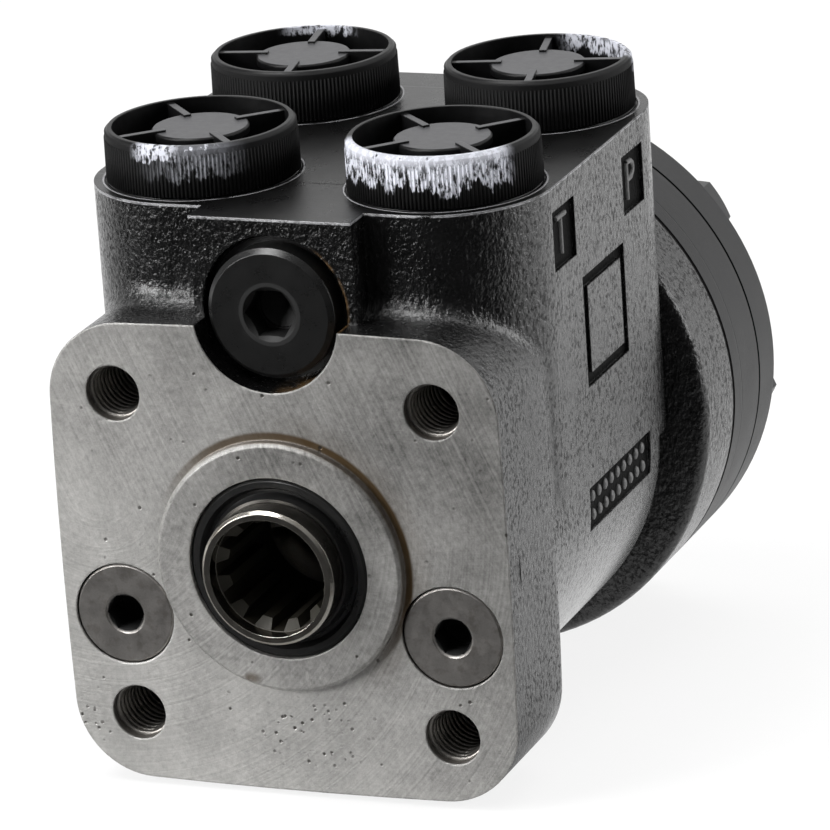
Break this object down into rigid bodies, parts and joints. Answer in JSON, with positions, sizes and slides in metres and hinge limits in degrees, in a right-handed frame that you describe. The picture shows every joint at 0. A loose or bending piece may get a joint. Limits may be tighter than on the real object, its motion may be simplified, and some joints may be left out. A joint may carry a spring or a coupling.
{
  "type": "orbital steering unit",
  "caption": "Hydrostatic steering valve: square-flanged black cast housing with splined input, threaded ports under transit caps, and a round gerotor pack with end cover behind.",
  "frame": {"origin": "on the input axis, in the machined mounting face of the housing", "axes": "-Y out of the mounting face towards the steering column, +Y to the end cover, +Z out of the ports, +X to the right seen from the column"},
  "size_m": [0.0938, 0.1406, 0.1162],
  "materials": {
    "cast_black": "sand-cast iron, painted satin black, mounting face bare and machined",
    "black_steel": "machined steel, painted satin black",
    "dark_plug": "turned steel, dark grey phosphated",
    "black_oxide": "turned steel, blackened",
    "bright_steel": "ground and honed steel",
    "gear_steel": "hardened and ground steel",
    "spring_steel": "spring steel",
    "zinc_steel": "zinc-plated steel",
    "black_rubber": "nitrile rubber",
    "seal_plastic": "filled PTFE",
    "cap_plastic": "moulded black polyethylene",
    "washer_metal": "soft aluminium"
  },
  "bodies": {
    "housing_body": {"housing": "cast_black", "dust_seal": "black_rubber", "shaft_seal": "seal_plastic", "shaft_o_ring": "black_rubber", "bearing_outer_race": "bright_steel", "distribution_plate": "black_steel", "gear_ring": "black_steel", "stack_o_rings": "black_rubber", "end_cover": "black_steel", "cover_screws": "zinc_steel", "pin_screw": "zinc_steel", "cover_washers": "washer_metal", "relief_plug": "black_oxide", "relief_seal": "zinc_steel", "relief_adjuster": "dark_plug", "relief_spring": "spring_steel", "relief_seat": "gear_steel", "shock_seals": "black_rubber", "suction_pins": "spring_steel", "check_bushing": "dark_plug", "shock_plug_left": "dark_plug", "shock_spring_left": "spring_steel", "shock_plug_right": "dark_plug", "shock_spring_right": "spring_steel"},
    "turning_sleeve": {"sleeve": "bright_steel", "spring_ring": "spring_steel", "centring_springs": "spring_steel", "cross_pin": "gear_steel", "bearing_inner_race": "bright_steel"},
    "turning_spool": {"spool": "bright_steel"},
    "needle_set": {"bearing_needle_cage": "bright_steel"},
    "orbit_carrier": {"cardan_spacer": "gear_steel"},
    "rotor": {"gear_wheel": "gear_steel"},
    "cardan": {"cardan_shaft": "gear_steel"},
    "relief_cone": {"relief_poppet": "gear_steel"},
    "check_valve_ball": {"check_ball": "gear_steel"},
    "shock_left": {"shock_ball_left": "gear_steel"},
    "suction_left": {"suction_ball_left": "gear_steel"},
    "shock_right": {"shock_ball_right": "gear_steel"},
    "suction_right": {"suction_ball_right": "gear_steel"},
    "cap_l": {"port_cap_l": "cap_plastic"},
    "cap_t": {"port_cap_t": "cap_plastic"},
    "cap_r": {"port_cap_r": "cap_plastic"},
    "cap_p": {"port_cap_p": "cap_plastic"}
  },
  "joints": [
    {"name": "sleeve_turn", "type": "hinge", "parent": "housing_body", "child": "turning_sleeve", "pos_m": [0, 0.04, 0], "axis": [0, -1, 0], "continuous": true},
    {"name": "spool_deflection", "type": "hinge", "parent": "turning_sleeve", "child": "turning_spool", "pos_m": [0, 0.04, 0], "axis": [0, -1, 0], "range_deg": [-8, 8], "stiffness_Nm_per_rad": 10, "deforming": ["centring_springs"]},
    {"name": "needle_roll", "type": "hinge", "parent": "housing_body", "child": "needle_set", "pos_m": [0, 0.01325, 0], "axis": [0, -1, 0], "continuous": true},
    {"name": "rotor_orbit", "type": "hinge", "parent": "housing_body", "child": "orbit_carrier", "pos_m": [0, 0.1114, 0], "axis": [0, -1, 0], "continuous": true},
    {"name": "rotor_spin", "type": "hinge", "parent": "orbit_carrier", "child": "rotor", "pos_m": [0, 0.1114, 0.0032], "axis": [0, -1, 0], "continuous": true},
    {"name": "cardan_spin", "type": "hinge", "parent": "orbit_carrier", "child": "cardan", "pos_m": [0, 0.04, 0], "axis": [0, -0.999, -0.0448], "continuous": true},
    {"name": "relief_lift", "type": "slide", "parent": "housing_body", "child": "relief_cone", "axis": [0, -1, 0], "range_m": [0, 0.002], "stiffness_N_per_m": 2000, "deforming": ["relief_spring"]},
    {"name": "check_ball_lift", "type": "slide", "parent": "housing_body", "child": "check_valve_ball", "axis": [0, 1, 0], "range_m": [0, 0.001]},
    {"name": "shock_lift_left", "type": "slide", "parent": "housing_body", "child": "shock_left", "axis": [0, -1, 0], "range_m": [0, 0.0015], "stiffness_N_per_m": 1500, "deforming": ["shock_spring_left"]},
    {"name": "suction_lift_left", "type": "slide", "parent": "housing_body", "child": "suction_left", "axis": [0, 1, 0], "range_m": [0, 0.001]},
    {"name": "shock_lift_right", "type": "slide", "parent": "housing_body", "child": "shock_right", "axis": [0, -1, 0], "range_m": [0, 0.0015], "stiffness_N_per_m": 1500, "deforming": ["shock_spring_right"]},
    {"name": "suction_lift_right", "type": "slide", "parent": "housing_body", "child": "suction_right", "axis": [0, 1, 0], "range_m": [0, 0.001]},
    {"name": "cap_lift_l", "type": "slide", "parent": "housing_body", "child": "cap_l", "axis": [0, 0, 1], "range_m": [0, 0.025]},
    {"name": "cap_lift_t", "type": "slide", "parent": "housing_body", "child": "cap_t", "axis": [0, 0, 1], "range_m": [0, 0.025]},
    {"name": "cap_lift_r", "type": "slide", "parent": "housing_body", "child": "cap_r", "axis": [0, 0, 1], "range_m": [0, 0.025]},
    {"name": "cap_lift_p", "type": "slide", "parent": "housing_body", "child": "cap_p", "axis": [0, 0, 1], "range_m": [0, 0.025]}
  ],
  "couplings": [
    {"joint": "needle_roll", "follows": "sleeve_turn", "ratio": 0.5},
    {"joint": "rotor_orbit", "follows": "sleeve_turn", "ratio": -6},
    {"joint": "rotor_spin", "follows": "sleeve_turn", "ratio": 7},
    {"joint": "cardan_spin", "follows": "sleeve_turn", "ratio": 7}
  ]
}
